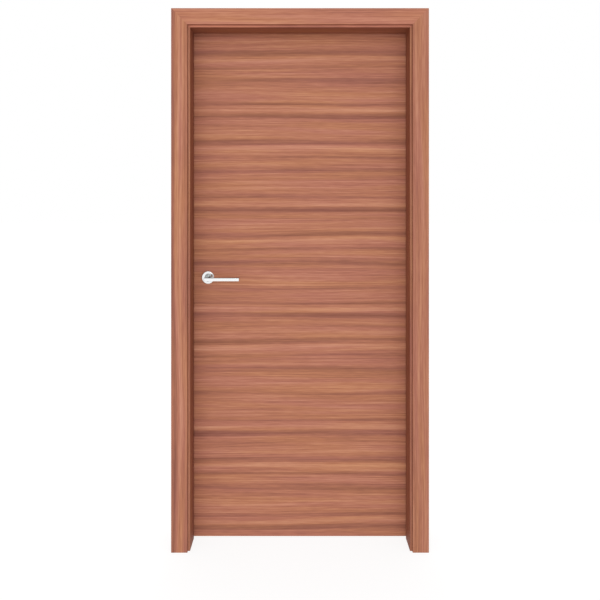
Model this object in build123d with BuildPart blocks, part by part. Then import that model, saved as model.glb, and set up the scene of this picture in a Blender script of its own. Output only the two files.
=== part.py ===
from build123d import *
import os

# All sizes are in millimetres. The origin is at floor level on the back of the hinge jamb,
# halfway through the wall. The leaf lies towards -X, its push side faces -Y, and +Z is up.

# Leaf
LEAF_WIDTH = 870.0
LEAF_HEIGHT = 2040.0
LEAF_THICKNESS = 40.0
SKIN_THICKNESS = 3.5
LIPPING_WIDTH = 8.0
HINGE_STILE_WIDTH = 45.0
LOCK_STILE_WIDTH = 90.0
TOP_RAIL_HEIGHT = 60.0
BOTTOM_RAIL_HEIGHT = 90.0
LOCK_EDGE_BEVEL = 1.4
ARRIS_RADIUS = 1.0

# Gaps round the leaf
EDGE_GAP = 5.0
HEAD_GAP = 5.0
STOP_GAP = 5.0
FLOOR_GAP = 5.0

# Lining and stops
JAMB_THICKNESS = 22.0
STOP_THICKNESS = 12.0
STOP_DEPTH = 70.0
STOP_ARRIS_RADIUS = 1.0

# Casings
CASING_WIDTH = 63.5
CASING_THICKNESS = 9.0
CASING_INNER_RADIUS = 1.5
CASING_OUTER_RADIUS = 3.0
FRONT_CASING_LAP = 3.5
BACK_CASING_SETBACK = 9.0

# Butt hinges
HINGE_HEIGHT = 100.0
TOP_HINGE_INSET = 200.0
BOTTOM_HINGE_INSET = 250.0
KNUCKLE_COUNT = 5
KNUCKLE_WALL = 2.5
KNUCKLE_GAP = 0.4
KNUCKLE_SWELL = 0.5
BARREL_STANDOFF = 1.5
PLATE_THICKNESS = 2.5
PLATE_DEPTH = 31.0
PLATE_CORNER_RADIUS = 6.0
PIN_CLEARANCE = 0.08
PIN_HEAD_HEIGHT = 3.0
HINGE_SCREW_RADIUS = 2.3
HINGE_SCREW_HEAD_RADIUS = 4.2
HINGE_SCREW_PITCH = 25.0
HINGE_SCREW_STAGGER = 4.0

# Latch, forend and strike
HANDLE_HEIGHT = 1053.0
BACKSET = 64.0
FOREND_LENGTH = 60.0
FOREND_WIDTH = 22.0
FOREND_THICKNESS = 2.5
FOREND_CORNER_RADIUS = 5.0
LATCH_CASE_RADIUS = 11.0
LATCH_CASE_TAIL = 20.0
LATCH_CASE_CLEARANCE = 0.25
FOLLOWER_RADIUS = 6.5
BOLT_HEIGHT = 18.0
BOLT_WIDTH = 12.0
BOLT_LENGTH = 24.0
BOLT_BEVEL = 9.0
BOLT_NOSE_FLAT = 2.0
BOLT_CLEARANCE = 0.3
STRIKE_LENGTH = 66.0
STRIKE_WIDTH = 24.0
STRIKE_THICKNESS = 2.0
STRIKE_LIP_LENGTH = 34.0
STRIKE_HOLE_HEIGHT = 24.0
STRIKE_HOLE_WIDTH = 16.0
POCKET_DEPTH = 14.0
LATCH_SCREW_RADIUS = 1.9
LATCH_SCREW_HEAD_RADIUS = 3.6
FOREND_SCREW_PITCH = 42.0
STRIKE_SCREW_PITCH = 46.0

# Lever furniture
ROSE_RADIUS = 25.5
ROSE_THICKNESS = 8.0
ROSE_EDGE_RADIUS = 2.5
COLLAR_RADIUS = 13.0
COLLAR_HEIGHT = 2.5
COLLAR_EDGE_RADIUS = 1.0
SHANK_RADIUS = 9.0
SHANK_CLEARANCE = 0.08
LEVER_PROJECTION = 60.0
LEVER_REACH = 131.0
LEVER_DEPTH = 14.0
LEVER_HEIGHT = 12.0
LEVER_INNER_BEND = 5.0
LEVER_OUTER_BEND = 2.5
LEVER_EDGE_RADIUS = 0.8
NECK_LIFT = 1.0
SPINDLE_SIZE = 8.0
SPINDLE_CLEARANCE = 0.1
SPINDLE_SOCKET_DEPTH = 26.0
SPINDLE_HOLE_RADIUS = 10.0

# Places across the doorway
HINGE_REBATE_X = -JAMB_THICKNESS
HINGE_EDGE_X = HINGE_REBATE_X - EDGE_GAP
LOCK_EDGE_X = HINGE_EDGE_X - LEAF_WIDTH
LOCK_REBATE_X = LOCK_EDGE_X - EDGE_GAP
LOCK_BACK_X = LOCK_REBATE_X - JAMB_THICKNESS
SPINDLE_X = LOCK_EDGE_X + BACKSET

# Places through the wall
JAMB_DEPTH = STOP_DEPTH + STOP_GAP + LEAF_THICKNESS
FRONT_Y = -JAMB_DEPTH / 2
BACK_Y = JAMB_DEPTH / 2
STOP_BACK_Y = FRONT_Y + STOP_DEPTH
PUSH_FACE_Y = STOP_BACK_Y + STOP_GAP
PULL_FACE_Y = PUSH_FACE_Y + LEAF_THICKNESS
LEAF_MID_Y = PUSH_FACE_Y + LEAF_THICKNESS / 2
CORE_FRONT_Y = PUSH_FACE_Y + SKIN_THICKNESS
CORE_BACK_Y = PULL_FACE_Y - SKIN_THICKNESS

# Heights
LEAF_FOOT_Z = FLOOR_GAP
LEAF_TOP_Z = LEAF_FOOT_Z + LEAF_HEIGHT
HEAD_REBATE_Z = LEAF_TOP_Z + HEAD_GAP
FRAME_TOP_Z = HEAD_REBATE_Z + JAMB_THICKNESS

# Hinge pin axis and knuckles
BARREL_RADIUS = EDGE_GAP / 2 + PLATE_THICKNESS + KNUCKLE_SWELL
BORE_RADIUS = BARREL_RADIUS - KNUCKLE_WALL
PIN_RADIUS = BORE_RADIUS - PIN_CLEARANCE
AXIS_X = HINGE_REBATE_X - EDGE_GAP / 2
AXIS_Y = PULL_FACE_Y + BARREL_RADIUS + BARREL_STANDOFF
KNUCKLE_PITCH = (HINGE_HEIGHT + KNUCKLE_GAP) / KNUCKLE_COUNT
BOTTOM_HINGE_Z = LEAF_FOOT_Z + BOTTOM_HINGE_INSET
TOP_HINGE_Z = LEAF_TOP_Z - TOP_HINGE_INSET
HINGES = {
    "bottom": BOTTOM_HINGE_Z,
    "middle": (BOTTOM_HINGE_Z + TOP_HINGE_Z) / 2,
    "top": TOP_HINGE_Z,
}

# Workplanes of the bevelled lock edge and of the lock jamb's face, both with local x upwards
LOCK_PLANE = Plane(
    origin=(LOCK_EDGE_X + LOCK_EDGE_BEVEL / 2, LEAF_MID_Y, HANDLE_HEIGHT),
    x_dir=(0, 0, 1),
    z_dir=(-LEAF_THICKNESS, -LOCK_EDGE_BEVEL, 0),
)
STRIKE_PLANE = Plane(
    origin=(LOCK_REBATE_X, LEAF_MID_Y, HANDLE_HEIGHT), x_dir=(0, 0, 1), z_dir=(1, 0, 0)
)

os.makedirs("parts", exist_ok=True)


def save(part, name):
    part.label = name
    export_step(part, f"parts/{name}.step")


def lock_edge_x(y):
    """Where the bevelled lock edge stands at one place through the leaf's thickness."""
    return LOCK_EDGE_X + LOCK_EDGE_BEVEL * (PULL_FACE_Y - y) / LEAF_THICKNESS


def spindle_plane(face_y, out):
    """The plane of one leaf face, centred on the spindle and looking away from the leaf."""
    return Plane(origin=(SPINDLE_X, face_y, HANDLE_HEIGHT), x_dir=(1, 0, 0), z_dir=(0, out, 0))


def plate_outline(face_x, centre_z):
    """A hinge plate's outline, from the pin's axis to its two rounded corners."""
    reach = AXIS_Y - PULL_FACE_Y + PLATE_DEPTH
    with BuildSketch(Plane.YZ.offset(face_x)) as outline:
        with Locations((AXIS_Y - reach / 2, centre_z)):
            Rectangle(reach, HINGE_HEIGHT)
        fillet(outline.vertices().group_by(Axis.X)[0], PLATE_CORNER_RADIUS)
    return outline.sketch


def strike_outline():
    """The strike's rounded plate, with the lip that reaches the jamb's pull edge."""
    lip_reach = BACK_Y - LEAF_MID_Y
    with BuildSketch(STRIKE_PLANE) as outline:
        RectangleRounded(STRIKE_LENGTH, STRIKE_WIDTH, FOREND_CORNER_RADIUS)
        with Locations((0, -lip_reach / 2)):
            Rectangle(STRIKE_LIP_LENGTH, lip_reach)
    return outline.sketch


# Lining
with BuildPart() as hinge_jamb:
    with BuildSketch() as section:
        with Locations((HINGE_REBATE_X, FRONT_Y)):
            Rectangle(JAMB_THICKNESS, JAMB_DEPTH, align=(Align.MIN, Align.MIN))
    extrude(amount=HEAD_REBATE_Z)
    for centre_z in HINGES.values():
        extrude(plate_outline(HINGE_REBATE_X, centre_z), amount=PLATE_THICKNESS, mode=Mode.SUBTRACT)
save(hinge_jamb.part, "hinge_jamb")

with BuildPart() as lock_jamb:
    with BuildSketch() as section:
        with Locations((LOCK_BACK_X, FRONT_Y)):
            Rectangle(JAMB_THICKNESS, JAMB_DEPTH, align=(Align.MIN, Align.MIN))
    extrude(amount=HEAD_REBATE_Z)
    extrude(strike_outline(), amount=-STRIKE_THICKNESS, mode=Mode.SUBTRACT)
    with BuildSketch(STRIKE_PLANE) as pocket:
        Rectangle(STRIKE_HOLE_HEIGHT, STRIKE_HOLE_WIDTH)
    extrude(amount=-POCKET_DEPTH, mode=Mode.SUBTRACT)
save(lock_jamb.part, "lock_jamb")

with BuildPart() as head_jamb:
    with BuildSketch(Plane.XY.offset(HEAD_REBATE_Z)) as section:
        with Locations((LOCK_BACK_X, FRONT_Y)):
            Rectangle(-LOCK_BACK_X, JAMB_DEPTH, align=(Align.MIN, Align.MIN))
    extrude(amount=JAMB_THICKNESS)
save(head_jamb.part, "head_jamb")

# Stops, planted on the lining with eased arrises on the edges away from it
UPRIGHT_STOPS = {
    "hinge_stop": (HINGE_REBATE_X - STOP_THICKNESS, 0),
    "lock_stop": (LOCK_REBATE_X, -1),
}
for name, (low_x, free_side) in UPRIGHT_STOPS.items():
    with BuildPart() as stop:
        with BuildSketch() as section:
            with Locations((low_x, FRONT_Y)):
                Rectangle(STOP_THICKNESS, STOP_DEPTH, align=(Align.MIN, Align.MIN))
            fillet(section.vertices().group_by(Axis.X)[free_side], STOP_ARRIS_RADIUS)
        extrude(amount=HEAD_REBATE_Z - STOP_THICKNESS)
    save(stop.part, name)

with BuildPart() as head_stop:
    with BuildSketch(Plane.YZ.offset(LOCK_REBATE_X)) as section:
        with Locations((FRONT_Y, HEAD_REBATE_Z - STOP_THICKNESS)):
            Rectangle(STOP_DEPTH, STOP_THICKNESS, align=(Align.MIN, Align.MIN))
        fillet(section.vertices().group_by(Axis.Y)[0], STOP_ARRIS_RADIUS)
    extrude(amount=HINGE_REBATE_X - LOCK_REBATE_X)
save(head_stop.part, "head_stop")


# Casings, mitred at the head and standing on the floor. The front ones lap onto the stops' edges,
# and the back ones stand clear of the hinges.
def casing_section(inner_edge, outward, proud):
    """A flat casing section with its two front corners rounded."""
    place = Plane(origin=inner_edge, x_dir=outward, z_dir=Vector(outward).cross(Vector(proud)))
    with BuildSketch(place) as section:
        Rectangle(CASING_WIDTH, CASING_THICKNESS, align=(Align.MIN, Align.MIN))
        fillet(section.vertices().group_by(Axis.Y)[-1].sort_by(Axis.X)[0], CASING_INNER_RADIUS)
        fillet(section.vertices().sort_by(Axis.X)[-2:].sort_by(Axis.Y)[-1], CASING_OUTER_RADIUS)
    return section.sketch


CASING_RUN = FRAME_TOP_Z - LOCK_BACK_X + CASING_WIDTH
for face, wall_y, proud, setback in (
    ("front", FRONT_Y, (0, -1, 0), -FRONT_CASING_LAP),
    ("back", BACK_Y, (0, 1, 0), BACK_CASING_SETBACK),
):
    head_z = HEAD_REBATE_Z + setback
    right = (HINGE_REBATE_X + setback, wall_y, head_z)
    left = (LOCK_REBATE_X - setback, wall_y, head_z)
    mitre_right = Plane(origin=right, x_dir=(0, 1, 0), z_dir=(1, 0, -1))
    mitre_left = Plane(origin=left, x_dir=(0, 1, 0), z_dir=(-1, 0, -1))

    with BuildPart() as casing_right:
        extrude(casing_section(right, (1, 0, 0), proud), amount=CASING_RUN, both=True)
        split(bisect_by=Plane.XY)
        split(bisect_by=mitre_right)
    save(casing_right.part, f"{face}_casing_right")

    with BuildPart() as casing_left:
        extrude(casing_section(left, (-1, 0, 0), proud), amount=CASING_RUN, both=True)
        split(bisect_by=Plane.XY)
        split(bisect_by=mitre_left)
    save(casing_left.part, f"{face}_casing_left")

    with BuildPart() as casing_head:
        extrude(casing_section(right, (0, 0, 1), proud), amount=CASING_RUN, both=True)
        split(bisect_by=mitre_right, keep=Keep.BOTTOM)
        split(bisect_by=mitre_left, keep=Keep.BOTTOM)
    save(casing_head.part, f"{face}_casing_head")

# Leaf skins, which run over the lippings to the leaf's edges
with BuildPart() as front_skin:
    with BuildSketch(Plane.XY.offset(LEAF_FOOT_Z)) as section:
        Polygon(
            (lock_edge_x(PUSH_FACE_Y), PUSH_FACE_Y),
            (HINGE_EDGE_X, PUSH_FACE_Y),
            (HINGE_EDGE_X, CORE_FRONT_Y),
            (lock_edge_x(CORE_FRONT_Y), CORE_FRONT_Y),
            align=None,
        )
        fillet(section.vertices().group_by(Axis.Y)[0], ARRIS_RADIUS)
    extrude(amount=LEAF_HEIGHT)
    with Locations(spindle_plane(PUSH_FACE_Y, -1)):
        Hole(SPINDLE_HOLE_RADIUS)
save(front_skin.part, "front_skin")

with BuildPart() as back_skin:
    with BuildSketch(Plane.XY.offset(LEAF_FOOT_Z)) as section:
        Polygon(
            (lock_edge_x(CORE_BACK_Y), CORE_BACK_Y),
            (HINGE_EDGE_X, CORE_BACK_Y),
            (HINGE_EDGE_X, PULL_FACE_Y),
            (lock_edge_x(PULL_FACE_Y), PULL_FACE_Y),
            align=None,
        )
        fillet(section.vertices().group_by(Axis.Y)[-1], ARRIS_RADIUS)
    extrude(amount=LEAF_HEIGHT)
    with Locations(spindle_plane(PULL_FACE_Y, 1)):
        Hole(SPINDLE_HOLE_RADIUS)
    for centre_z in HINGES.values():
        extrude(plate_outline(HINGE_EDGE_X, centre_z), amount=-PLATE_THICKNESS, mode=Mode.SUBTRACT)
save(back_skin.part, "back_skin")

# Leaf lippings, stiles, rails and core, between the skins
CORE_DEPTH = CORE_BACK_Y - CORE_FRONT_Y
LOCK_STILE_X = LOCK_EDGE_X + LIPPING_WIDTH
CORE_LOW_X = LOCK_STILE_X + LOCK_STILE_WIDTH
HINGE_STILE_X = HINGE_EDGE_X - LIPPING_WIDTH
CORE_HIGH_X = HINGE_STILE_X - HINGE_STILE_WIDTH
CORE_LOW_Z = LEAF_FOOT_Z + BOTTOM_RAIL_HEIGHT
CORE_HIGH_Z = LEAF_TOP_Z - TOP_RAIL_HEIGHT

with BuildPart() as hinge_lipping:
    with BuildSketch(Plane.XY.offset(LEAF_FOOT_Z)) as section:
        with Locations((HINGE_STILE_X, CORE_FRONT_Y)):
            Rectangle(LIPPING_WIDTH, CORE_DEPTH, align=(Align.MIN, Align.MIN))
    extrude(amount=LEAF_HEIGHT)
    for centre_z in HINGES.values():
        extrude(plate_outline(HINGE_EDGE_X, centre_z), amount=-PLATE_THICKNESS, mode=Mode.SUBTRACT)
save(hinge_lipping.part, "hinge_lipping")

with BuildPart() as lock_lipping:
    with BuildSketch(Plane.XY.offset(LEAF_FOOT_Z)) as section:
        Polygon(
            (lock_edge_x(CORE_FRONT_Y), CORE_FRONT_Y),
            (LOCK_STILE_X, CORE_FRONT_Y),
            (LOCK_STILE_X, CORE_BACK_Y),
            (lock_edge_x(CORE_BACK_Y), CORE_BACK_Y),
            align=None,
        )
    extrude(amount=LEAF_HEIGHT)
    with BuildSketch(LOCK_PLANE) as recess:
        RectangleRounded(FOREND_LENGTH, FOREND_WIDTH, FOREND_CORNER_RADIUS)
    extrude(amount=-FOREND_THICKNESS, mode=Mode.SUBTRACT)
    with Locations(LOCK_PLANE):
        Hole(LATCH_CASE_RADIUS + LATCH_CASE_CLEARANCE, BACKSET)
save(lock_lipping.part, "lock_lipping")

with BuildPart() as hinge_stile:
    with BuildSketch(Plane.XY.offset(LEAF_FOOT_Z)) as section:
        with Locations((CORE_HIGH_X, CORE_FRONT_Y)):
            Rectangle(HINGE_STILE_WIDTH, CORE_DEPTH, align=(Align.MIN, Align.MIN))
    extrude(amount=LEAF_HEIGHT)
save(hinge_stile.part, "hinge_stile")

with BuildPart() as lock_stile:
    with BuildSketch(Plane.XY.offset(LEAF_FOOT_Z)) as section:
        with Locations((LOCK_STILE_X, CORE_FRONT_Y)):
            Rectangle(LOCK_STILE_WIDTH, CORE_DEPTH, align=(Align.MIN, Align.MIN))
    extrude(amount=LEAF_HEIGHT)
    with Locations(LOCK_PLANE):
        Hole(LATCH_CASE_RADIUS + LATCH_CASE_CLEARANCE, BACKSET + LATCH_CASE_TAIL + LATCH_CASE_CLEARANCE)
    with Locations(spindle_plane(PUSH_FACE_Y, -1)):
        Hole(SPINDLE_HOLE_RADIUS)
save(lock_stile.part, "lock_stile")

for name, low_z, high_z in (
    ("bottom_rail", LEAF_FOOT_Z, CORE_LOW_Z),
    ("leaf_core", CORE_LOW_Z, CORE_HIGH_Z),
    ("top_rail", CORE_HIGH_Z, LEAF_TOP_Z),
):
    with BuildPart() as filling:
        with BuildSketch(Plane.XY.offset(low_z)) as section:
            with Locations((CORE_LOW_X, CORE_FRONT_Y)):
                Rectangle(CORE_HIGH_X - CORE_LOW_X, CORE_DEPTH, align=(Align.MIN, Align.MIN))
        extrude(amount=high_z - low_z)
    save(filling.part, name)


# Butt hinges, with five knuckles shared between two plates
def knuckle_place(index, centre_z):
    return (AXIS_X, AXIS_Y, centre_z + (index - (KNUCKLE_COUNT - 1) / 2) * KNUCKLE_PITCH)


def hinge_plate(face_x, inward, centre_z, own, others):
    """One plate let into the wood, notched round the other's knuckles, with its own round the pin."""
    own_places = [knuckle_place(index, centre_z) for index in own]
    other_places = [knuckle_place(index, centre_z) for index in others]
    with BuildPart() as plate:
        extrude(plate_outline(face_x, centre_z), amount=inward * PLATE_THICKNESS)
        with Locations(*other_places):
            Cylinder(BARREL_RADIUS + KNUCKLE_GAP, KNUCKLE_PITCH + KNUCKLE_GAP, mode=Mode.SUBTRACT)
        with Locations(*own_places):
            Cylinder(BARREL_RADIUS, KNUCKLE_PITCH - KNUCKLE_GAP)
        with Locations((AXIS_X, AXIS_Y, centre_z)):
            Cylinder(BORE_RADIUS, 2 * HINGE_HEIGHT, mode=Mode.SUBTRACT)
        screw_y = PULL_FACE_Y - PLATE_DEPTH / 2
        screws = [
            Plane(
                origin=(face_x, screw_y + step * HINGE_SCREW_STAGGER, centre_z + row * HINGE_SCREW_PITCH),
                z_dir=(-inward, 0, 0),
            )
            for row, step in ((-1.5, 1), (-0.5, -1), (0.5, -1), (1.5, 1))
        ]
        with Locations(*screws):
            CounterSinkHole(HINGE_SCREW_RADIUS, HINGE_SCREW_HEAD_RADIUS, 2 * PLATE_THICKNESS)
    return plate.part


for name, centre_z in HINGES.items():
    jamb_knuckles = range(0, KNUCKLE_COUNT, 2)
    leaf_knuckles = range(1, KNUCKLE_COUNT, 2)
    save(
        hinge_plate(HINGE_REBATE_X, 1, centre_z, jamb_knuckles, leaf_knuckles),
        f"hinge_jamb_plate_{name}",
    )
    save(
        hinge_plate(HINGE_EDGE_X, -1, centre_z, leaf_knuckles, jamb_knuckles),
        f"hinge_leaf_plate_{name}",
    )

    with BuildPart() as pin:
        with Locations((AXIS_X, AXIS_Y, centre_z)):
            Cylinder(PIN_RADIUS, HINGE_HEIGHT)
        for side in (-1, 1):
            with BuildSketch(Plane((AXIS_X, AXIS_Y, centre_z + side * HINGE_HEIGHT / 2), z_dir=(0, 0, side))):
                Circle(BARREL_RADIUS)
            extrude(amount=PIN_HEAD_HEIGHT)
            rim = pin.edges().sort_by(Axis.Z)[-1 if side > 0 else 0]
            fillet(rim, PIN_HEAD_HEIGHT / 2)
    save(pin.part, f"hinge_pin_{name}")

# Latch in the lock edge, with its bolt drawn back flush
with BuildPart() as latch_forend:
    with BuildSketch(LOCK_PLANE) as plate_face:
        RectangleRounded(FOREND_LENGTH, FOREND_WIDTH, FOREND_CORNER_RADIUS)
        Rectangle(BOLT_HEIGHT + 2 * BOLT_CLEARANCE, BOLT_WIDTH + 2 * BOLT_CLEARANCE, mode=Mode.SUBTRACT)
    extrude(amount=-FOREND_THICKNESS)
    with Locations(*[LOCK_PLANE * Pos(side * FOREND_SCREW_PITCH / 2, 0, 0) for side in (-1, 1)]):
        CounterSinkHole(LATCH_SCREW_RADIUS, LATCH_SCREW_HEAD_RADIUS, 2 * FOREND_THICKNESS)
save(latch_forend.part, "latch_forend")

with BuildPart() as latch_bolt:
    with BuildSketch(LOCK_PLANE) as end_face:
        Rectangle(BOLT_HEIGHT, BOLT_WIDTH)
    extrude(amount=-BOLT_LENGTH)
    nose = latch_bolt.edges().group_by(Axis.X)[0].sort_by(Axis.Y)[0]
    chamfer(nose, BOLT_BEVEL, BOLT_WIDTH - BOLT_NOSE_FLAT)
save(latch_bolt.part, "latch_bolt")

with BuildPart() as latch_case:
    with BuildSketch(LOCK_PLANE.offset(-FOREND_THICKNESS)) as case_end:
        Circle(LATCH_CASE_RADIUS)
    extrude(amount=-(BACKSET + LATCH_CASE_TAIL - FOREND_THICKNESS))
    with BuildSketch(LOCK_PLANE.offset(-FOREND_THICKNESS)) as channel:
        Rectangle(BOLT_HEIGHT + 2 * BOLT_CLEARANCE, BOLT_WIDTH + 2 * BOLT_CLEARANCE)
    extrude(amount=-(BOLT_LENGTH - FOREND_THICKNESS), mode=Mode.SUBTRACT)
    with Locations(spindle_plane(PUSH_FACE_Y, -1)):
        Hole(FOLLOWER_RADIUS)
save(latch_case.part, "latch_case")

with BuildPart() as strike_plate:
    extrude(strike_outline(), amount=-STRIKE_THICKNESS)
    with BuildSketch(STRIKE_PLANE) as latch_hole:
        Rectangle(STRIKE_HOLE_HEIGHT, STRIKE_HOLE_WIDTH)
    extrude(amount=-STRIKE_THICKNESS, mode=Mode.SUBTRACT)
    with Locations(*[STRIKE_PLANE * Pos(side * STRIKE_SCREW_PITCH / 2, 0, 0) for side in (-1, 1)]):
        CounterSinkHole(LATCH_SCREW_RADIUS, LATCH_SCREW_HEAD_RADIUS, 2 * STRIKE_THICKNESS)
save(strike_plate.part, "strike_plate")


# Lever furniture on both faces, turning one square spindle
def rose(face_y, out):
    """A round rose with a raised collar and a bore in which the lever's shank turns."""
    base = spindle_plane(face_y, out)
    with BuildPart() as disc:
        with BuildSketch(base):
            Circle(ROSE_RADIUS)
        extrude(amount=ROSE_THICKNESS)
        fillet(disc.faces().sort_by(Axis((0, 0, 0), (0, out, 0)))[-1].edges(), ROSE_EDGE_RADIUS)
        with BuildSketch(base.offset(ROSE_THICKNESS)):
            Circle(COLLAR_RADIUS)
        extrude(amount=COLLAR_HEIGHT)
        fillet(disc.faces().sort_by(Axis((0, 0, 0), (0, out, 0)))[-1].edges(), COLLAR_EDGE_RADIUS)
        with Locations(base.offset(ROSE_THICKNESS + COLLAR_HEIGHT)):
            Hole(SHANK_RADIUS + SHANK_CLEARANCE)
    return disc.part


def lever(face_y, out):
    """A flat bar bent once: the neck stands out of the rose, and the grip runs towards the hinges."""
    neck_y = face_y + out * (ROSE_THICKNESS + COLLAR_HEIGHT + NECK_LIFT)
    outer_y = face_y + out * LEVER_PROJECTION
    inner_y = outer_y - out * LEVER_DEPTH
    near_x = SPINDLE_X - LEVER_DEPTH / 2
    bend_x = SPINDLE_X + LEVER_DEPTH / 2
    tip_x = SPINDLE_X + LEVER_REACH
    with BuildPart() as handle:
        with BuildSketch(Plane.XY.offset(HANDLE_HEIGHT - LEVER_HEIGHT / 2)) as plan:
            Polygon(
                (near_x, neck_y),
                (near_x, outer_y),
                (tip_x, outer_y),
                (tip_x, inner_y),
                (bend_x, inner_y),
                (bend_x, neck_y),
                align=None,
            )
            corners = plan.vertices().sort_by_distance((near_x, outer_y))
            fillet(corners[0], LEVER_OUTER_BEND)
            corners = plan.vertices().sort_by_distance((bend_x, inner_y))
            fillet(corners[0], LEVER_INNER_BEND)
        extrude(amount=LEVER_HEIGHT)
        seat = handle.faces().sort_by(Axis((0, 0, 0), (0, out, 0)))[0]
        fillet(handle.edges() - seat.edges(), LEVER_EDGE_RADIUS)
        with BuildSketch(Plane((SPINDLE_X, neck_y, HANDLE_HEIGHT), x_dir=(1, 0, 0), z_dir=(0, -out, 0))):
            Circle(SHANK_RADIUS)
        extrude(amount=abs(neck_y - face_y) - NECK_LIFT)
        with BuildSketch(spindle_plane(face_y + out * NECK_LIFT, out)):
            Rectangle(SPINDLE_SIZE + 2 * SPINDLE_CLEARANCE, SPINDLE_SIZE + 2 * SPINDLE_CLEARANCE)
        extrude(amount=SPINDLE_SOCKET_DEPTH, mode=Mode.SUBTRACT)
    return handle.part


for face, face_y, out in (("front", PUSH_FACE_Y, -1), ("back", PULL_FACE_Y, 1)):
    save(rose(face_y, out), f"{face}_rose")
    save(lever(face_y, out), f"{face}_lever")

with BuildPart() as spindle:
    with BuildSketch(spindle_plane(LEAF_MID_Y, 1)) as section:
        Rectangle(SPINDLE_SIZE, SPINDLE_SIZE)
    extrude(amount=LEAF_THICKNESS / 2 + NECK_LIFT + SPINDLE_SOCKET_DEPTH - SPINDLE_CLEARANCE, both=True)
save(spindle.part, "spindle")
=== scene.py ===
import math
import bpy
import numpy as np
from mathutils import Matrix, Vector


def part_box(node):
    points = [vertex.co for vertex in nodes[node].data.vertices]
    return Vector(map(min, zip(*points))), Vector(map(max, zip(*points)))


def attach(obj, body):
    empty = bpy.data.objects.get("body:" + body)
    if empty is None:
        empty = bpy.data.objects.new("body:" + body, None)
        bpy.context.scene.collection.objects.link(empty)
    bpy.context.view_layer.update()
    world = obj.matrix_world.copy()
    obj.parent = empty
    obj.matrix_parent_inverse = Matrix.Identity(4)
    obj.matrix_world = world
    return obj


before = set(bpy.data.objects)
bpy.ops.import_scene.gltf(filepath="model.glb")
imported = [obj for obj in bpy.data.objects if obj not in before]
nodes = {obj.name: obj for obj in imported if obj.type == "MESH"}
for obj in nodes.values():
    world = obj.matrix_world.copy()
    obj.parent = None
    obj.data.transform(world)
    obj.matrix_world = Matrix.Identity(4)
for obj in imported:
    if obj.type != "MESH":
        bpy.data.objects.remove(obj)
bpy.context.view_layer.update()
scene = bpy.context.scene
print("door loaded:", len(nodes), "pieces")


def linear(hexCode):  # sRGB hex to the linear RGBA that sockets take
    channels = [int(hexCode[i:i + 2], 16) / 255 for i in (1, 3, 5)]
    return [c / 12.92 if c <= 0.04045 else ((c + 0.055) / 1.055) ** 2.4 for c in channels] + [1.0]


# a socket given as a value becomes a link. A Mix node of colours has its share in input 0, its colours
# in 6 and 7, and its result in output 2
def addNode(tree, kind, inputs=None, stops=None, **settings):
    node = tree.nodes.new(kind)
    for name, value in settings.items():
        setattr(node, name, value)
    for place, value in (inputs or {}).items():
        if isinstance(value, bpy.types.NodeSocket):
            tree.links.new(value, node.inputs[place])
        else:
            node.inputs[place].default_value = value
    for i, (position, colour) in enumerate(stops or []):
        elements = node.color_ramp.elements
        element = elements[i] if i < 2 else elements.new(position)
        element.position = position
        element.color = linear(colour) if isinstance(colour, str) else [colour] * 3 + [1.0]
    return node


def newMaterial(name):
    material = bpy.data.materials.new(name)
    material.use_nodes = True
    material.node_tree.nodes.clear()
    return material, material.node_tree


# camera: level, with the lens shifted down so that the uprights stay parallel
cameraSettings = {"lens": 28.4, "sensor": 36, "place": (-0.4775, -1.8995, 1.368), "shift": (0.0066, -0.1675)}
cameraData = bpy.data.cameras.new("camera")
cameraData.lens = cameraSettings["lens"]
cameraData.sensor_width = cameraSettings["sensor"]
cameraData.shift_x, cameraData.shift_y = cameraSettings["shift"]
camera = bpy.data.objects.new("camera", cameraData)
camera.location = cameraSettings["place"]
camera.rotation_euler = (math.pi / 2, 0, 0)
scene.collection.objects.link(camera)
scene.camera = camera
scene.view_settings.view_transform = "Standard"

# light: an even white room and two weak lamps, a low one before the door and a higher one behind it
lightSettings = {
    "room": 0.86, "lampWidth": 10.0,  # width in degrees
    "lamps": {"frontLamp": (0.3, 10, 0), "backLamp": (0.35, 35, 180)},  # strength, elevation, azimuth
}
for name, (strength, elevation, azimuth) in lightSettings["lamps"].items():
    lampData = bpy.data.lights.new(name, "SUN")
    lampData.energy = strength
    lampData.angle = math.radians(lightSettings["lampWidth"])
    lamp = bpy.data.objects.new(name, lampData)
    lamp.rotation_euler = (math.radians(90 - elevation), 0, math.radians(azimuth))
    scene.collection.objects.link(lamp)


def seenStraight(tree):  # 1 for what the camera sees, in metal or glass too, and 0 for light on its way
    path = addNode(tree, "ShaderNodeLightPath")
    seen = addNode(tree, "ShaderNodeMath", {
        0: path.outputs["Is Camera Ray"], 1: path.outputs["Is Glossy Ray"]}, operation="MAXIMUM")
    seen = addNode(tree, "ShaderNodeMath", {
        0: seen.outputs[0], 1: path.outputs["Is Transmission Ray"]}, operation="MAXIMUM")
    return seen.outputs[0]


white = linear("#ffffff")
world = bpy.data.worlds.new("whiteRoom")
world.use_nodes = True
scene.world = world
tree = world.node_tree
tree.nodes.clear()
lit = addNode(tree, "ShaderNodeBackground", {"Color": white, "Strength": lightSettings["room"]})
shown = addNode(tree, "ShaderNodeBackground", {"Color": white, "Strength": 1.0})
mixed = addNode(tree, "ShaderNodeMixShader", {0: seenStraight(tree), 1: lit.outputs[0], 2: shown.outputs[0]})
addNode(tree, "ShaderNodeOutputWorld", {"Surface": mixed.outputs[0]})

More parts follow.
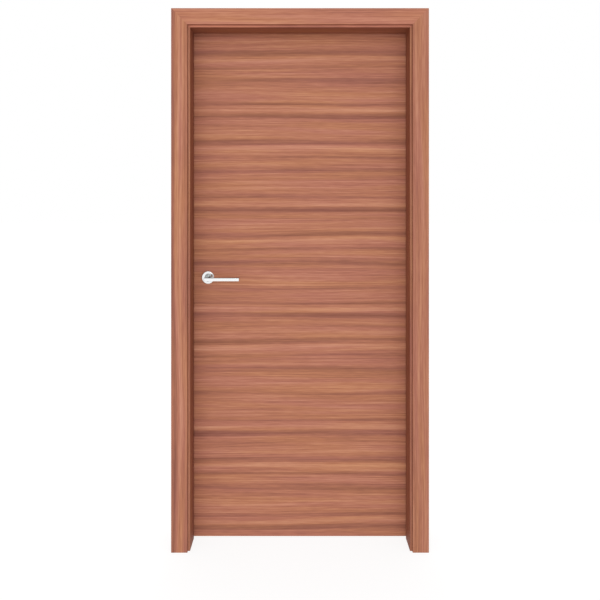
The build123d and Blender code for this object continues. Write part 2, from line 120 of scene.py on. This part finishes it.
# floor: matt white paint, which keeps the door's shadow. Part of it glows and throws more light up at the
# door than paint would, and a larger part glows where the camera looks, so that it is drawn nearly as white
# as the room
floorSettings = {"half": 25.0, "drop": 0.0005, "colour": "#f6f6f6",
                 "glow": 0.8, "glowOnDoor": 0.55, "glowStrength": 1.08}
half, drop = floorSettings["half"], floorSettings["drop"]
corners = [(-half, -half, -drop), (half, -half, -drop), (half, half, -drop), (-half, half, -drop)]
floorMesh = bpy.data.meshes.new("floor")
floorMesh.from_pydata(corners, [], [(0, 1, 2, 3)])
floor = bpy.data.objects.new("floor", floorMesh)
scene.collection.objects.link(floor)
floorPaint, tree = newMaterial("matt white floor paint")
share = addNode(tree, "ShaderNodeMapRange", {
    "Value": seenStraight(tree), "To Min": floorSettings["glowOnDoor"], "To Max": floorSettings["glow"]})
matt = addNode(tree, "ShaderNodeBsdfDiffuse", {"Color": linear(floorSettings["colour"])})
glow = addNode(tree, "ShaderNodeEmission", {"Color": white, "Strength": floorSettings["glowStrength"]})
mixed = addNode(tree, "ShaderNodeMixShader", {0: share.outputs[0], 1: matt.outputs[0], 2: glow.outputs[0]})
addNode(tree, "ShaderNodeOutputMaterial", {"Surface": mixed.outputs[0]})
floorMesh.materials.append(floorPaint)
print("camera, light and floor set")

noiseLow, noiseMiddle, noiseHigh = 0.3, 0.5, 0.7  # noise seldom leaves this range

# sapele veneer, quarter cut, slip matched and satin lacquered: each sheet repeats the same few dark
# and light ribbons, which wander a little and fade along their length, over fine lines and pores
veneerSettings = {
    "colours": [(0.0, "#8d5847"), (0.22, "#9d6754"), (0.5, "#b67a61"), (0.78, "#ca9174"), (1.0, "#daa486")],
    "orange": "#fff6e4", "pink": "#fbedf0",
    # place down the sheet from its strongest ribbon, in mm, and how pale the wood is there
    "ribbons": [(-60, 0.5), (-50, 0.2), (-42, 0.5), (-32, 0.6), (-24, 0.76), (-15, 0.62), (-9, 0.26),
                (0, 0.08), (8, 0.16), (13, 0.48), (45, 0.48), (72, 0.6), (92, 0.54), (100, 0.24),
                (109, 0.18), (117, 0.3), (122, 0.6), (132, 0.78), (146, 0.56), (158, 0.46), (165, 0.22),
                (174, 0.5), (200, 0.58), (212, 0.3), (222, 0.2), (236, 0.44), (282, 0.6), (308, 0.56),
                (318, 0.24), (328, 0.52), (420, 0.52)],
    "sheetMm": 480, "leadMm": 60,  # a sheet starts this far above its strongest ribbon
    "waveMm": 26, "waveScale": (1.1, 7.0, 1.0),  # waves to a metre, along the grain and across it
    # name: grain width and run in mm, detail, and how far it takes the tone from middle. Lines and pores
    # are really under a millimetre wide, and are drawn this coarse to show in a picture of the whole door
    "layers": {"fade": (42, 600, 1.0, 0.0), "hue": (34, 600, 1.0, 0.0), "streak": (11, 480, 1.0, 0.57),
               "line": (5.0, 400, 2.0, 0.64), "pore": (3.2, 60, 1.0, 0.48)},
    "layerRoughness": 0.55,
    "fade": {"From Min": 0.32, "From Max": 0.66, "To Min": 0.55, "To Max": 1.0},
    "hue": {"From Min": 0.35, "From Max": 0.65},
    "paintedShade": "#bfada0", "paintedShadePower": 3.0,  # painted shade: a darker tint on faces turned into the doorway
    "gloss": {"From Min": noiseLow, "From Max": noiseHigh, "To Min": 0.68, "To Max": 0.58},
    "bump": {"Strength": 0.2, "Distance": 0.0003},
    "lacquer": {"IOR": 1.5, "Specular IOR Level": 0.3},
}
doorway = [(low + high) / 2 for low, high in zip(*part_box("front_skin"))]


def sapele(name, grain, across, sheets, seed, toneAndPaintedLight=1.0, inner=(0, 0, 0), settings=veneerSettings):
    material, tree = newMaterial(name)
    place = addNode(tree, "ShaderNodeTexCoord")
    spot = place.outputs["Object"]
    run = addNode(tree, "ShaderNodeVectorMath", {0: spot, 1: grain}, operation="DOT_PRODUCT")
    side = addNode(tree, "ShaderNodeVectorMath", {0: spot, 1: across}, operation="DOT_PRODUCT")
    run, side = run.outputs["Value"], side.outputs["Value"]
    straight = addNode(tree, "ShaderNodeCombineXYZ", {"X": run, "Y": side, "Z": seed})

    # the grain wanders a few millimetres over most of a metre
    slow = addNode(tree, "ShaderNodeVectorMath", {0: straight.outputs[0], 1: settings["waveScale"]},
                   operation="MULTIPLY")
    slow = addNode(tree, "ShaderNodeTexNoise", {"Vector": slow.outputs[0], "Scale": 1.0, "Detail": 0.0})
    slow = addNode(tree, "ShaderNodeMath", {0: slow.outputs["Fac"], 1: noiseMiddle}, operation="SUBTRACT")
    wavy = addNode(tree, "ShaderNodeMath", {0: slow.outputs[0], 1: settings["waveMm"] / 1000, 2: side},
                   operation="MULTIPLY_ADD").outputs[0]
    flow = addNode(tree, "ShaderNodeCombineXYZ", {"X": run, "Y": wavy, "Z": seed})

    # place down the sheet in mm, starting again at each sheet's joint
    lead, sheet = settings["leadMm"], settings["sheetMm"]
    down = addNode(tree, "ShaderNodeMath", {0: wavy, 1: -1000.0, 2: sheets[0]}, operation="MULTIPLY_ADD")
    for upper, lower in zip(sheets, sheets[1:]):
        below = addNode(tree, "ShaderNodeMath", {0: side, 1: (lower + lead) / 1000}, operation="LESS_THAN")
        down = addNode(tree, "ShaderNodeMath", {0: below.outputs[0], 1: lower - upper, 2: down.outputs[0]},
                       operation="MULTIPLY_ADD")
    down = addNode(tree, "ShaderNodeMath", {0: down.outputs[0], 1: sheet - lead, 2: -lead}, operation="WRAP")
    down = addNode(tree, "ShaderNodeMath", {0: down.outputs[0], 1: 1 / sheet, 2: lead / sheet},
                   operation="MULTIPLY_ADD")
    ribbon = addNode(tree, "ShaderNodeValToRGB", {0: down.outputs[0]},
                     stops=[((mm + lead) / sheet, pale) for mm, pale in settings["ribbons"]])

    layers = {}
    for layer, (widthMm, runMm, detail, reach) in settings["layers"].items():
        stretched = addNode(tree, "ShaderNodeVectorMath", {
            0: flow.outputs[0], 1: (1000 / runMm, 1000 / widthMm, 1.0)}, operation="MULTIPLY")
        layers[layer] = addNode(tree, "ShaderNodeTexNoise", {
            "Vector": stretched.outputs[0], "Scale": 1.0, "Detail": detail,
            "Roughness": settings["layerRoughness"]}).outputs["Fac"]

    # tone: ribbons that fade in and out, then streaks, lines and pores on top
    fade = addNode(tree, "ShaderNodeMapRange", {"Value": layers["fade"], **settings["fade"]})
    pale = addNode(tree, "ShaderNodeMath", {0: ribbon.outputs["Color"], 1: noiseMiddle}, operation="SUBTRACT")
    pale = addNode(tree, "ShaderNodeMath", {0: pale.outputs[0], 1: fade.outputs[0], 2: noiseMiddle},
                   operation="MULTIPLY_ADD")
    for layer, (widthMm, runMm, detail, reach) in settings["layers"].items():
        if reach:
            change = addNode(tree, "ShaderNodeMath", {0: layers[layer], 1: noiseMiddle}, operation="SUBTRACT")
            pale = addNode(tree, "ShaderNodeMath", {0: change.outputs[0], 1: reach, 2: pale.outputs[0]},
                           operation="MULTIPLY_ADD")
    wood = addNode(tree, "ShaderNodeValToRGB", {0: pale.outputs[0]}, stops=settings["colours"])
    hue = addNode(tree, "ShaderNodeMapRange", {"Value": layers["hue"], **settings["hue"]})
    tint = addNode(tree, "ShaderNodeMix", {
        0: hue.outputs[0], 6: linear(settings["orange"]), 7: linear(settings["pink"])}, data_type="RGBA")
    colour = addNode(tree, "ShaderNodeVectorMath", {0: wood.outputs["Color"], 1: tint.outputs[2]},
                     operation="MULTIPLY")

    # faces turned into the doorway are painted darker, as painted shade in the recess
    toward = addNode(tree, "ShaderNodeVectorMath", {0: doorway, 1: spot}, operation="SUBTRACT")
    toward = addNode(tree, "ShaderNodeVectorMath", {0: toward.outputs[0], 1: inner}, operation="MULTIPLY")
    toward = addNode(tree, "ShaderNodeVectorMath", {0: toward.outputs[0]}, operation="NORMALIZE")
    turned = addNode(tree, "ShaderNodeVectorMath", {0: place.outputs["Normal"], 1: toward.outputs[0]},
                     operation="DOT_PRODUCT")
    turned = addNode(tree, "ShaderNodeMath", {0: turned.outputs["Value"], 1: 0.0}, operation="MAXIMUM")
    turned = addNode(tree, "ShaderNodeMath", {0: turned.outputs[0], 1: settings["paintedShadePower"]},
                     operation="POWER")
    paintedShade = addNode(tree, "ShaderNodeMix", {
        0: turned.outputs[0], 6: [toneAndPaintedLight, toneAndPaintedLight, toneAndPaintedLight, 1], 7: linear(settings["paintedShade"])}, data_type="RGBA")
    colour = addNode(tree, "ShaderNodeVectorMath", {0: colour.outputs[0], 1: paintedShade.outputs[2]},
                     operation="MULTIPLY")

    rough = addNode(tree, "ShaderNodeMapRange", {"Value": layers["line"], **settings["gloss"]})
    height = addNode(tree, "ShaderNodeMath", {0: layers["line"], 1: layers["pore"]}, operation="ADD")
    bump = addNode(tree, "ShaderNodeBump", {"Height": height.outputs[0], **settings["bump"]})
    surface = addNode(tree, "ShaderNodeBsdfPrincipled", {
        "Base Color": colour.outputs[0], "Roughness": rough.outputs[0], "Normal": bump.outputs[0],
        **settings["lacquer"]})
    addNode(tree, "ShaderNodeOutputMaterial", {"Surface": surface.outputs[0]})
    return material


# plated or bare metal with a satin finish: even and bright, with faint brush lines one way, drawn coarser
# than real ones. The handle's neck and collar are ground matt and painted greyer, as painted reflection and
# shade of the lever, and the bar's flats above and below are painted dark, as painted shade
metalSettings = {"detail": 2.0, "spread": (0.8, 1.2), "edgeMm": 0.5,
                 "bump": {"Strength": 0.05, "Distance": 0.0001}}


def satinMetal(name, paleHex, darkHex, roughness, brushMm, matt=None, settings=metalSettings):
    material, tree = newMaterial(name)
    place = addNode(tree, "ShaderNodeTexCoord")
    spot = place.outputs["Object"]
    brush = addNode(tree, "ShaderNodeMapping", {"Vector": spot, "Scale": [1000 / mm for mm in brushMm]})
    lines = addNode(tree, "ShaderNodeTexNoise", {
        "Vector": brush.outputs[0], "Scale": 1.0, "Detail": settings["detail"]}).outputs["Fac"]
    colour = addNode(tree, "ShaderNodeValToRGB", {0: lines},
                     stops=[(noiseLow, darkHex), (noiseHigh, paleHex)]).outputs["Color"]
    smoothest, roughest = settings["spread"]
    rough = addNode(tree, "ShaderNodeMapRange", {
        "Value": lines, "From Min": noiseLow, "From Max": noiseHigh,
        "To Min": roughness * smoothest, "To Max": roughness * roughest}).outputs[0]
    metal = 1.0
    if matt:
        off = addNode(tree, "ShaderNodeVectorMath", {0: spot, 1: matt["centre"]}, operation="SUBTRACT")
        off = addNode(tree, "ShaderNodeVectorMath", {0: off.outputs[0], 1: matt["along"]},
                      operation="MULTIPLY")
        off = addNode(tree, "ShaderNodeVectorMath", {0: off.outputs[0]}, operation="LENGTH")
        edge = matt["reachMm"] / 1000
        within = addNode(tree, "ShaderNodeMapRange", {
            "Value": off.outputs["Value"], "From Min": edge - settings["edgeMm"] / 1000, "From Max": edge,
            "To Min": 1.0, "To Max": 0.0}).outputs[0]
        # painted reflection and shade: the matt part is drawn greyer than the plate
        colour = addNode(tree, "ShaderNodeMix", {
            0: within, 6: colour, 7: linear(matt["colour"])}, data_type="RGBA").outputs[2]
        rough = addNode(tree, "ShaderNodeMath", {0: within, 1: matt["roughness"], 2: rough},
                        operation="MULTIPLY_ADD").outputs[0]
        if "paintedShadeFlats" in matt:  # painted shade on faces turned up or down, beyond the matt part
            paintedShadeFlats = matt["paintedShadeFlats"]
            turned = addNode(tree, "ShaderNodeVectorMath", {0: place.outputs["Normal"], 1: (0, 0, 1)},
                             operation="DOT_PRODUCT")
            turned = addNode(tree, "ShaderNodeMath", {0: turned.outputs["Value"]}, operation="ABSOLUTE")
            turned = addNode(tree, "ShaderNodeMapRange", {
                "Value": turned.outputs[0], "From Min": paintedShadeFlats["turn"][0], "From Max": paintedShadeFlats["turn"][1]})
            beyond = addNode(tree, "ShaderNodeMath", {0: 1.0, 1: within}, operation="SUBTRACT")
            turned = addNode(tree, "ShaderNodeMath", {0: turned.outputs[0], 1: beyond.outputs[0]},
                             operation="MULTIPLY").outputs[0]
            colour = addNode(tree, "ShaderNodeMix", {
                0: turned, 6: colour, 7: linear(paintedShadeFlats["colour"])}, data_type="RGBA").outputs[2]
            rough = addNode(tree, "ShaderNodeMath", {0: turned, 1: paintedShadeFlats["roughness"], 2: rough},
                            operation="MULTIPLY_ADD").outputs[0]
            metal = addNode(tree, "ShaderNodeMath", {0: turned, 1: paintedShadeFlats["metallic"], 2: metal},
                            operation="MULTIPLY_ADD").outputs[0]
    bump = addNode(tree, "ShaderNodeBump", {"Height": lines, **settings["bump"]})
    surface = addNode(tree, "ShaderNodeBsdfPrincipled", {
        "Base Color": colour, "Metallic": metal, "Roughness": rough, "Normal": bump.outputs[0]})
    addNode(tree, "ShaderNodeOutputMaterial", {"Surface": surface.outputs[0]})
    return material


# bare board, seen only at the leaf's top and bottom edges: grain or chips, dry and rough
boardSettings = {"chips": {"Scale": 1.0, "Detail": 3.0, "Roughness": 0.7},
                 "gloss": {"To Min": 0.92, "To Max": 0.75}, "bump": {"Strength": 0.5, "Distance": 0.0005}}


def bareBoard(name, paleHex, darkHex, chipMm, settings=boardSettings):
    material, tree = newMaterial(name)
    place = addNode(tree, "ShaderNodeTexCoord")
    spread = addNode(tree, "ShaderNodeMapping", {
        "Vector": place.outputs["Object"], "Scale": [1000 / mm for mm in chipMm]})
    chips = addNode(tree, "ShaderNodeTexNoise", {
        "Vector": spread.outputs[0], **settings["chips"]}).outputs["Fac"]
    colour = addNode(tree, "ShaderNodeValToRGB", {0: chips},
                     stops=[(noiseLow, darkHex), (noiseHigh, paleHex)])
    rough = addNode(tree, "ShaderNodeMapRange", {"Value": chips, **settings["gloss"]})
    bump = addNode(tree, "ShaderNodeBump", {"Height": chips, **settings["bump"]})
    surface = addNode(tree, "ShaderNodeBsdfPrincipled", {
        "Base Color": colour.outputs["Color"], "Roughness": rough.outputs[0], "Normal": bump.outputs[0]})
    addNode(tree, "ShaderNodeOutputMaterial", {"Surface": surface.outputs[0]})
    return material


# a matt part reaches reachMm from the spindle's middle, along the axes that along gives. Its roughness, and
# the flats' roughness and metallic, are added to those of the bright plate. The matt part's grey is painted
# reflection and shade, and the flats' dark colour and lower metallic are painted shade
spindleLow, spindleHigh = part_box("spindle")
spindleMiddle = [(low + high) / 2 for low, high in zip(spindleLow, spindleHigh)]
roseMattAndPaintedShade = {"centre": spindleMiddle, "along": (1.25, 0, 1), "reachMm": 16.5, "colour": "#a3a6a5",
            "roughness": 0.14}
leverMattAndPaintedShade = {"centre": spindleMiddle, "along": (0, 1, 0), "reachMm": 65, "colour": "#a3a6a5",
             "roughness": 0.14,
             "paintedShadeFlats": {"turn": (0.3, 0.8), "colour": "#4b4749", "roughness": 0.4, "metallic": -0.8}}

# wood: the way of the grain, the way across it, the sheets' strongest ribbons in mm, and a seed.
# metal: pale and dark, roughness, and the brush lines' size in mm. board: pale and dark, and the size of
# its grain or chips in mm
upright, level = (0, 0, 1), (1, 0, 0)
# each wooden piece's tone is partly its own and partly painted light and shade: the head lining's 1.4 is
# painted light where the head casing shades it
finishes = {
    "front_skin": sapele("sapele veneer, push side", level, upright, [2069, 1705, 1330, 901, 421, 43], 0.0),
    "back_skin": sapele("sapele veneer, pull side", level, upright, [1920, 1480, 1040, 600, 160], 31.0),
    "casing_left": sapele("sapele casing, left", upright, (-1, 1, 0), [997], 7.0, toneAndPaintedLight=0.97, inner=level),
    "casing_right": sapele("sapele casing, right", upright, (-1, 1, 0), [203], 12.0, toneAndPaintedLight=0.92, inner=level),
    "casing_head": sapele("sapele casing, head", level, (0, 1, 1), [2072], 17.0, toneAndPaintedLight=1.04, inner=upright),
    "jamb": sapele("sapele lining, upright", upright, (1, 1, 0), [300], 22.0, toneAndPaintedLight=0.9, inner=level),
    "head": sapele("sapele lining, level", level, (0, 1, 1), [2300], 27.0, toneAndPaintedLight=1.4, inner=upright),
    "lipping": sapele("sapele lipping, solid", upright, (1, 1, 0), [150], 36.0, toneAndPaintedLight=0.85),
    "lever": satinMetal("bright chrome plate on zinc, with painted shade", "#f8f8f8", "#f0f1f2", 0.12, (3, 0.3, 0.3), leverMattAndPaintedShade),
    "rose": satinMetal("chrome plate on zinc, matt middle with painted shade", "#f4f4f4", "#e6e7e8", 0.16, (3, 0.3, 0.3),
                       roseMattAndPaintedShade),
    "hinge": satinMetal("satin stainless steel", "#cac8c4", "#bcbab6", 0.32, (0.3, 0.3, 6)),
    "latch": satinMetal("satin nickel plate on steel", "#c6c2ba", "#b8b4ac", 0.3, (0.3, 0.3, 6)),
    "stile": bareBoard("sawn softwood", "#d8b98c", "#b48d5e", (40, 3, 40)),
    "core": bareBoard("chipboard", "#c9a877", "#8f6d46", (4, 4, 4)),
}


def finishOf(name):
    if name.endswith("_skin"):
        return finishes[name]
    if "casing" in name:
        return finishes["casing_" + name.rsplit("_", 1)[1]]
    if name in ("head_jamb", "head_stop"):
        return finishes["head"]
    if name.endswith(("_jamb", "_stop")):
        return finishes["jamb"]
    if name.endswith("_lipping"):
        return finishes["lipping"]
    if name.endswith(("_rose", "_lever")):
        return finishes[name.rsplit("_", 1)[1]]
    if name.startswith("hinge_") and ("plate" in name or "pin" in name):
        return finishes["hinge"]
    if name.endswith(("_stile", "_rail")):
        return finishes["stile"]
    return finishes["core"] if name == "leaf_core" else finishes["latch"]


for name, piece in nodes.items():
    for slot in piece.material_slots:
        slot.material = finishOf(name)
print("finishes put on", len(nodes), "pieces")


screwSettings = {
    "steps": 40, "faceRings": 9, "sunkMm": 0.15,
    "innerRing": 0.08, "armLength": 0.62, "armWidth": 0.15,  # shares of the head's radius
    "armEdge": 1.6,  # where an arm's sloping sides meet the face, in arm widths from its middle
    "firstTurn": 0.3, "nextTurn": 0.65,  # in radians, so that no two slots line up
}


# countersunk screws: a profile turned round the screw's axis, from the middle of the head out over
# its flat face, down the cone and back to the axis. A cross is sunk into the face, deepest in the
# middle, and its depth falls in a straight line to nothing at the ends of the four arms.
def screwHeads(name, body, finish, places, outward, sizes, settings=screwSettings):
    steps, faceRings, sunkMm = settings["steps"], settings["faceRings"], settings["sunkMm"]
    headMm, crossMm = sizes["headMm"], sizes["crossMm"]
    arm, armWidth = headMm * settings["armLength"], headMm * settings["armWidth"]
    radius = np.append(np.linspace(settings["innerRing"], 1.0, faceRings) * headMm, sizes["shankMm"])
    depth = np.append(np.zeros(faceRings), sizes["coneMm"]) + sunkMm
    angle = np.linspace(0, 2 * math.pi, steps, endpoint=False)
    x, y = np.outer(radius, np.cos(angle)), np.outer(radius, np.sin(angle))
    inArm = np.clip(settings["armEdge"] - np.minimum(abs(x), abs(y)) / armWidth, 0, 1)
    cross = crossMm * inArm * np.clip(1 - radius / arm, 0, 1)[:, None]
    rings = np.stack([x, y, -depth[:, None] - cross], axis=-1).reshape(-1, 3)
    poles = np.array([[0, 0, -sunkMm - crossMm], [0, 0, -depth[-1]]])
    shape = np.concatenate([rings, poles])

    out = np.array(outward, float) / np.linalg.norm(outward)
    first = np.cross([0, 0, 1], out)
    first /= np.linalg.norm(first)
    second = np.cross(out, first)
    turn = np.arange(len(places)) * settings["nextTurn"] + settings["firstTurn"]
    cosine, sine = np.cos(turn)[:, None, None], np.sin(turn)[:, None, None]
    across = first * cosine + second * sine
    upward = second * cosine - first * sine
    points = (np.array(places)[:, None, :] + shape[None, :, 0:1] * across + shape[None, :, 1:2] * upward
              + shape[None, :, 2:3] * out) / 1000

    count = len(radius)
    i, j = np.meshgrid(np.arange(count - 1), np.arange(steps), indexing="ij")
    k = (j + 1) % steps
    quads = np.stack([i * steps + j, (i + 1) * steps + j, (i + 1) * steps + k, i * steps + k], axis=-1)
    quads = quads.reshape(-1, 4)
    j, k = np.arange(steps), (np.arange(steps) + 1) % steps
    end, last = count * steps, (count - 1) * steps
    top = np.stack([np.full(steps, end), j, k], axis=-1)
    bottom = np.stack([np.full(steps, end + 1), last + k, last + j], axis=-1)
    faces = []
    for screw in range(len(places)):
        start = screw * len(shape)
        faces += (quads + start).tolist() + (top + start).tolist() + (bottom + start).tolist()
    mesh = bpy.data.meshes.new(name)
    mesh.from_pydata(points.reshape(-1, 3).tolist(), [], faces)
    mesh.materials.append(finish)
    piece = bpy.data.objects.new(name, mesh)
    scene.collection.objects.link(piece)
    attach(piece, body)


hingeScrews = {
    "headMm": 4.05, "shankMm": 2.2, "coneMm": 1.85, "crossMm": 1.3,
    "heights": {"top": 1845, "middle": 1050, "bottom": 255},
    "rows": [(-37.5, 46), (-12.5, 38), (12.5, 38), (37.5, 46)],  # up from the hinge's middle, and y
    "plates": {"jamb": ("frame", -22, -1), "leaf": ("leaf", -27, 1)},  # body, x of the face, way it looks
}
for where, height in hingeScrews["heights"].items():
    for plate, (body, x, out) in hingeScrews["plates"].items():
        screwHeads(f"hinge_{plate}_screws_{where}", body, finishes["hinge"],
                   [(x, y, height + rise) for rise, y in hingeScrews["rows"]], (out, 0, 0), hingeScrews)

latchScrews = {
    "headMm": 3.45, "shankMm": 1.8, "coneMm": 1.6, "crossMm": 1.1, "y": 37.5, "height": 1053,
    # body, x of the face, distance above and below the latch's middle, way the face looks
    "plates": {"latch_forend": ("leaf", -896.3, 21, (-40, -1.4, 0)),
               "strike_plate": ("frame", -902, 23, (1, 0, 0))},
}
for plate, (body, x, apart, outward) in latchScrews["plates"].items():
    screwHeads(f"{plate}_screws", body, finishes["latch"],
               [(x, latchScrews["y"], latchScrews["height"] + rise) for rise in (-apart, apart)],
               outward, latchScrews)
print("screws set in hinges, latch and strike")
